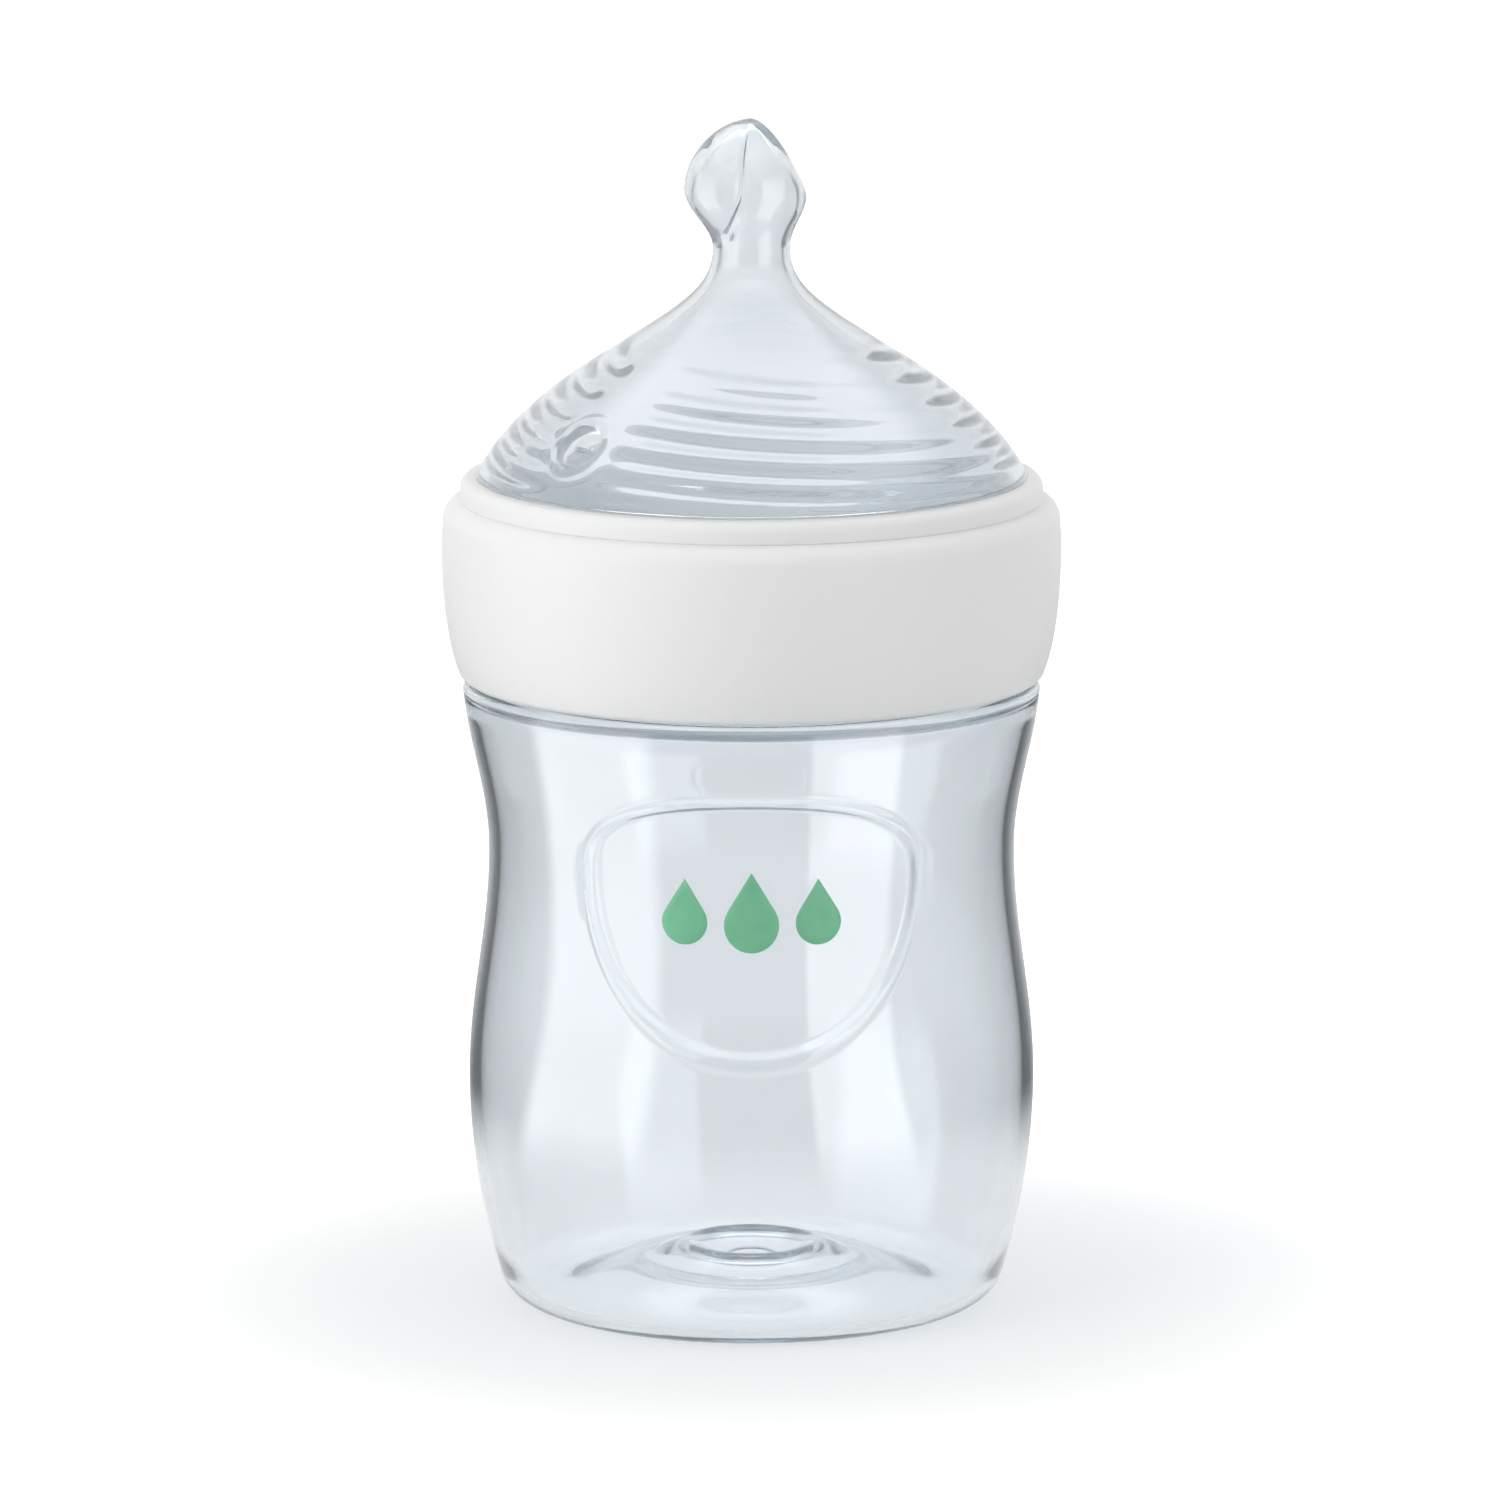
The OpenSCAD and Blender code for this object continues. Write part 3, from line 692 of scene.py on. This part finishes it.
def clear_silicone():
    made, shader = material("clear_silicone", Transmission_Weight=0.88, IOR=1.41, Roughness=0.05)
    haze = noise(made, 160, 4)
    color_from(made, shader, haze, (0.905, 0.926, 0.946), (0.924, 0.942, 0.959))
    roughness_from(made, shader, noise(made, 90, 3), 0.03, 0.07)
    bump(made, shader, noise(made, 55, 2), 0.00003)
    absorb(made, (0.2, 0.42, 0.54), 34)
    let_lamps_in(made, shader, (0.97, 0.975, 0.98))
    return made


def white_plastic():
    made, shader = material("white_plastic", IOR=1.46, Specular_IOR_Level=0.4)
    shader.inputs["Subsurface Weight"].default_value = 0.25
    shader.inputs["Subsurface Scale"].default_value = 0.004
    shader.inputs["Subsurface Radius"].default_value = (1, 1, 1)
    color_from(made, shader, noise(made, 22, 2), (0.848, 0.848, 0.848), (0.87, 0.87, 0.87))
    roughness_from(made, shader, noise(made, 700, 2), 0.42, 0.54)
    bump(made, shader, noise(made, 2600, 2), 0.000012)
    return made


def green_ink():
    made, shader = material("green_ink", IOR=1.45)
    color_from(made, shader, noise(made, 420, 4), (0.165, 0.49, 0.29), (0.195, 0.535, 0.325))
    roughness_from(made, shader, noise(made, 900, 3), 0.35, 0.5)
    bump(made, shader, noise(made, 1500, 3), 0.000008)
    return made


def dress(piece, made, body, slot, *nodes):
    piece.data.materials.clear()
    piece.data.materials.append(made)
    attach(piece, body)
    if nodes:
        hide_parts(*nodes)


dress(make_bottle(), clear_plastic(), "bottle", "clear_bottle", "bottle")
dress(make_ring(), white_plastic(), "ring", "white_ring", "screw_ring")
dress(make_nipple(), clear_silicone(), "nipple", "clear_silicone", "nipple")
ink = green_ink()
for i, name in ((-1, "print_left"), (0, "print_middle"), (1, "print_right")):
    drop = make_drop(name, i * DROP_GAP, DROP_H * (1 if i == 0 else SIDE_DROP))
    dress(drop, ink, "bottle", "green_ink", *(["front_print"] if i == 0 else []))


# ---- studio ----


def link(tree, output, socket):
    """Joins a node's output, or a plain number, to a socket."""
    if isinstance(output, (int, float)):
        socket.default_value = output
    else:
        tree.links.new(output, socket)


def maths(owner, operation, *values):
    added = node(owner, "ShaderNodeMath", operation=operation)
    for value, socket in zip(values, added.inputs):
        link(owner.node_tree, value, socket)
    return added.outputs[0]


def mixed(owner, share, a, b):
    """a where share is 0 and b where it is 1."""
    return maths(owner, "ADD", a, maths(owner, "MULTIPLY", share, maths(owner, "SUBTRACT", b, a)))


def ramped(owner, value, low, high):
    """0 below low and 1 above high, smoothly."""
    added = node(owner, "ShaderNodeMapRange", interpolation_type="SMOOTHSTEP")
    link(owner.node_tree, value, added.inputs["Value"])
    added.inputs["From Min"].default_value, added.inputs["From Max"].default_value = low, high
    return added.outputs["Result"]


def rays(owner):
    """What a ray has met so far: whether it shows the stage behind the glass, and whether it
    was mirrored on the way."""
    path = node(owner, "ShaderNodeLightPath").outputs
    bare = maths(owner, "LESS_THAN", path["Diffuse Depth"], 0.5)
    through = maths(owner, "MAXIMUM", path["Is Glossy Ray"], path["Is Transmission Ray"])
    through = maths(owner, "MULTIPLY", through, bare)
    mirrored = maths(owner, "GREATER_THAN", path["Glossy Depth"], 0.5)
    return path["Is Camera Ray"], through, mirrored


# The softboxes beside the object: centre and half width as angles from the front, the
# softness of their edges, and how bright they look in a mirror.
SOFTBOXES = ((-67, 27, 5, 2.5), (42, 18.5, 2, 2.4))
DARK_ROOM = 0.08
# Behind the object the stage is white. Near the table, dark cards stand further round it.
BEHIND, BEHIND_CARDS = (118, 150), (144, 178)
CARDS_REACH = (0.4, 0.5)
# Light from above, by the upward share of a direction: a white ceiling, then a softbox.
CEILING, OVERHEAD = (0.15, 0.4), (0.6, 0.8)
OVERHEAD_LEVEL = 2.6
WHITE_BEHIND = 1.0


def room(owner, x, y, cards=0.0):
    """The room round the object as a mirror shows it, by the angle from the front. cards says
    how far the dark cards narrow the white stage."""
    angle = maths(owner, "ARCTAN2", x, maths(owner, "MULTIPLY", y, -1.0))
    level = DARK_ROOM
    for centre, half, soft, bright in SOFTBOXES:
        off = maths(owner, "ABSOLUTE", maths(owner, "SUBTRACT", angle, float(np.radians(centre))))
        outside = ramped(owner, off, np.radians(half - soft), np.radians(half + soft))
        inside = maths(owner, "SUBTRACT", 1.0, outside)
        level = maths(owner, "ADD", level, maths(owner, "MULTIPLY", inside, bright - DARK_ROOM))
    off = maths(owner, "ABSOLUTE", angle)
    wide = ramped(owner, off, *(float(np.radians(a)) for a in BEHIND))
    narrow = ramped(owner, off, *(float(np.radians(a)) for a in BEHIND_CARDS))
    return mixed(owner, mixed(owner, cards, wide, narrow), level, WHITE_BEHIND)


FLOOR_HALF, FLOOR_Z = 3.0, -5e-5
NEAR_TABLE, FAR_TABLE, TABLE_LEVEL = 0.06, 0.13, 0.9
# The glow the floor gains for the camera: little beside the foot, which paints a shade round the
# base on top of its real shadow, and enough further off to be white.
GLOW_WITH_PAINTED_SHADE, PAINTED_SHADE_REACH = (0.26, 0.95), (0.035, 0.15)


def make_floor():
    """A white floor that keeps the shadow, with a painted shade round the foot, where it glows
    less for the camera. In a mirror it is white near the object, and further off it shows the
    room."""
    mesh = bpy.data.meshes.new("floor")
    square = [(-1, -1), (1, -1), (1, 1), (-1, 1)]
    corners = [(x * FLOOR_HALF, y * FLOOR_HALF, FLOOR_Z) for x, y in square]
    mesh.from_pydata(corners, [], [(0, 1, 2, 3)])
    floor = bpy.data.objects.new("floor", mesh)
    bpy.context.scene.collection.objects.link(floor)
    made, shader = material("floor_white", Base_Color=(0.8, 0.8, 0.8, 1), Roughness=0.9)
    shader.inputs["Specular IOR Level"].default_value = 0.1
    shader.inputs["Emission Color"].default_value = (1, 1, 1, 1)
    camera, through, mirrored = rays(made)
    at = node(made, "ShaderNodeNewGeometry").outputs["Position"]
    split = node(made, "ShaderNodeSeparateXYZ")
    link(made.node_tree, at, split.inputs[0])
    x, y = split.outputs["X"], split.outputs["Y"]
    x_square, y_square = maths(made, "MULTIPLY", x, x), maths(made, "MULTIPLY", y, y)
    away = maths(made, "SQRT", maths(made, "ADD", x_square, y_square))
    # Painted shade: near the foot the floor glows less for the camera, so a darker ring round the
    # base adds to its real shadow.
    lift = mixed(made, ramped(made, away, *PAINTED_SHADE_REACH), *GLOW_WITH_PAINTED_SHADE)
    link(made.node_tree, maths(made, "MULTIPLY", camera, lift), shader.inputs["Emission Strength"])
    cards = maths(made, "SUBTRACT", 1.0, ramped(made, away, *CARDS_REACH))
    far = ramped(made, away, NEAR_TABLE, FAR_TABLE)
    table = mixed(made, far, TABLE_LEVEL, room(made, x, y, cards))
    glow = node(made, "ShaderNodeEmission")
    link(made.node_tree, mixed(made, mirrored, WHITE_BEHIND, table), glow.inputs["Strength"])
    both = node(made, "ShaderNodeMixShader")
    link(made.node_tree, through, both.inputs[0])
    link(made.node_tree, shader.outputs[0], both.inputs[1])
    link(made.node_tree, glow.outputs[0], both.inputs[2])
    wire(made, both, "Shader", made.node_tree.nodes["Material Output"], "Surface")
    mesh.materials.append(made)


AMBIENT = 0.62


def make_world():
    """White behind the object, the room in a mirror, and a plain soft light on surfaces."""
    world = bpy.data.worlds.new("studio")
    world.use_nodes = True
    bpy.context.scene.world = world
    camera, through, mirrored = rays(world)
    split = node(world, "ShaderNodeSeparateXYZ")
    link(world.node_tree, node(world, "ShaderNodeTexCoord").outputs["Generated"], split.inputs[0])
    x, y, z = (split.outputs[axis] for axis in "XYZ")
    reflected = mixed(world, ramped(world, z, *CEILING), room(world, x, y), WHITE_BEHIND)
    reflected = mixed(world, ramped(world, z, *OVERHEAD), reflected, OVERHEAD_LEVEL)
    seen = mixed(world, mirrored, WHITE_BEHIND, reflected)
    shown = maths(world, "MAXIMUM", camera, through)
    light = world.node_tree.nodes["Background"]
    link(world.node_tree, mixed(world, shown, AMBIENT, seen), light.inputs["Strength"])
    light.inputs["Color"].default_value = (1, 1, 1, 1)


# Each lamp's name, place, size and watts. All of them aim at one point.
LAMPS = (("key", (-1.05, -0.75, 0.65), 1.2, 9.0), ("fill", (1.1, 0.1, 0.25), 0.5, 2.8))
LAMP_AIM = Vector((0, 0, 0.06))


def make_lamp(name, at, size, power_w):
    lamp = bpy.data.lights.new(name, "AREA")
    lamp.shape, lamp.size, lamp.energy = "DISK", size, power_w
    holder = bpy.data.objects.new(name, lamp)
    holder.location = at
    holder.rotation_euler = (LAMP_AIM - Vector(at)).to_track_quat("-Z", "Y").to_euler()
    holder.visible_camera = holder.visible_glossy = holder.visible_transmission = False
    bpy.context.scene.collection.objects.link(holder)


CAMERA_AT, CAMERA_AIM = Vector((0, -1.180, 0.2845)), Vector((0, 0, 0.06117))
LENS, SENSOR, SHIFT_X, CLIP_START = 261.9, 36, -0.001, 0.05


def make_camera():
    camera = bpy.data.objects.new("camera", bpy.data.cameras.new("camera"))
    bpy.context.scene.collection.objects.link(camera)
    camera.location = CAMERA_AT
    camera.rotation_euler = (CAMERA_AIM - CAMERA_AT).to_track_quat("-Z", "Y").to_euler()
    camera.data.lens, camera.data.sensor_width = LENS, SENSOR
    camera.data.shift_x = SHIFT_X
    camera.data.clip_start = CLIP_START
    bpy.context.scene.camera = camera


BOUNCES = 24

make_floor()
make_world()
for lamp in LAMPS:
    make_lamp(*lamp)
make_camera()
bpy.context.scene.view_settings.view_transform = "Standard"
for kind in ("max", "glossy", "transmission", "transparent_max"):
    setattr(bpy.context.scene.cycles, kind + "_bounces", BOUNCES)
